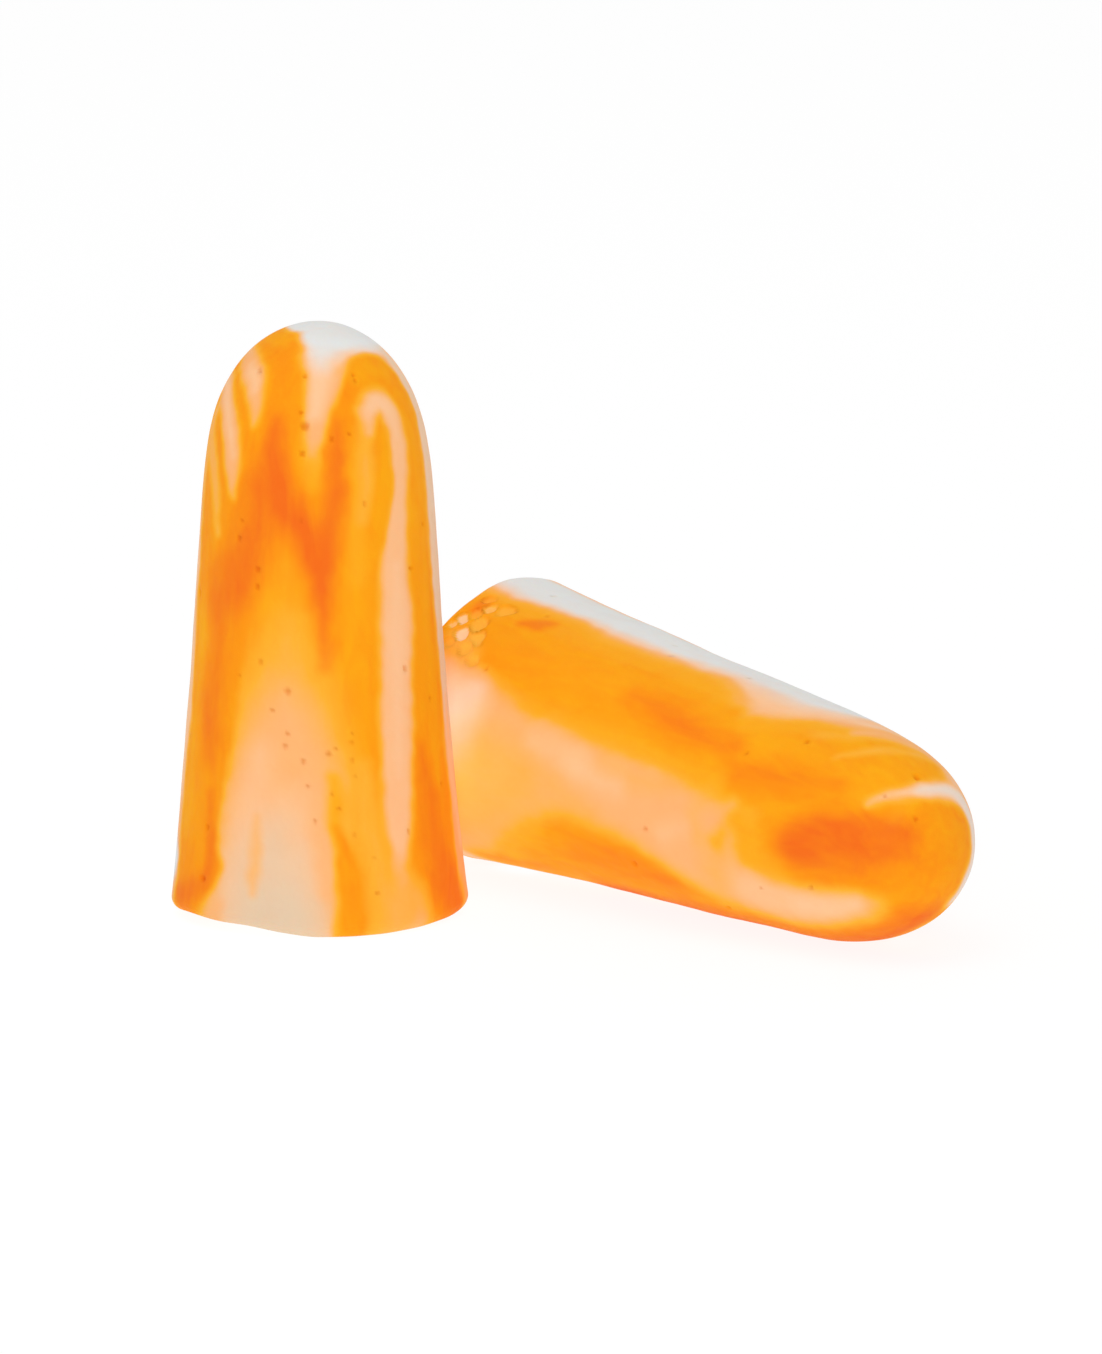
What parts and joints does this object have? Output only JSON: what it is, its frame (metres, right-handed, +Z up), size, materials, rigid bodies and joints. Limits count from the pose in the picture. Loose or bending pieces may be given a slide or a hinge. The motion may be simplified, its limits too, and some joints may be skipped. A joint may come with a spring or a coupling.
{
  "type": "foam ear plugs",
  "caption": "Soft foam ear plugs with flat flared bases and domed tips in marbled orange and cream, rolled thin and left to swell in the ear canal to block noise.",
  "frame": {"origin": "centre of the standing plug's flat base, on the surface both plugs rest on", "axes": "+Z up along the standing plug to its tip, +X towards the lying plug's side of the set, +Y to the back"},
  "size_m": [0.0322, 0.0242, 0.024],
  "materials": {
    "marbled_foam": "soft matte moulded foam skin, orange swirled with peach, cream and grey-white"
  },
  "bodies": {
    "standing_plug": {"standing_plug": "marbled_foam"},
    "lying_plug": {"lying_plug": "marbled_foam"}
  },
  "joints": [
    {"name": "lying_plug_lift", "type": "slide", "parent": "standing_plug", "child": "lying_plug", "axis": [0, 0, 1], "range_m": [0, 0.03]}
  ]
}
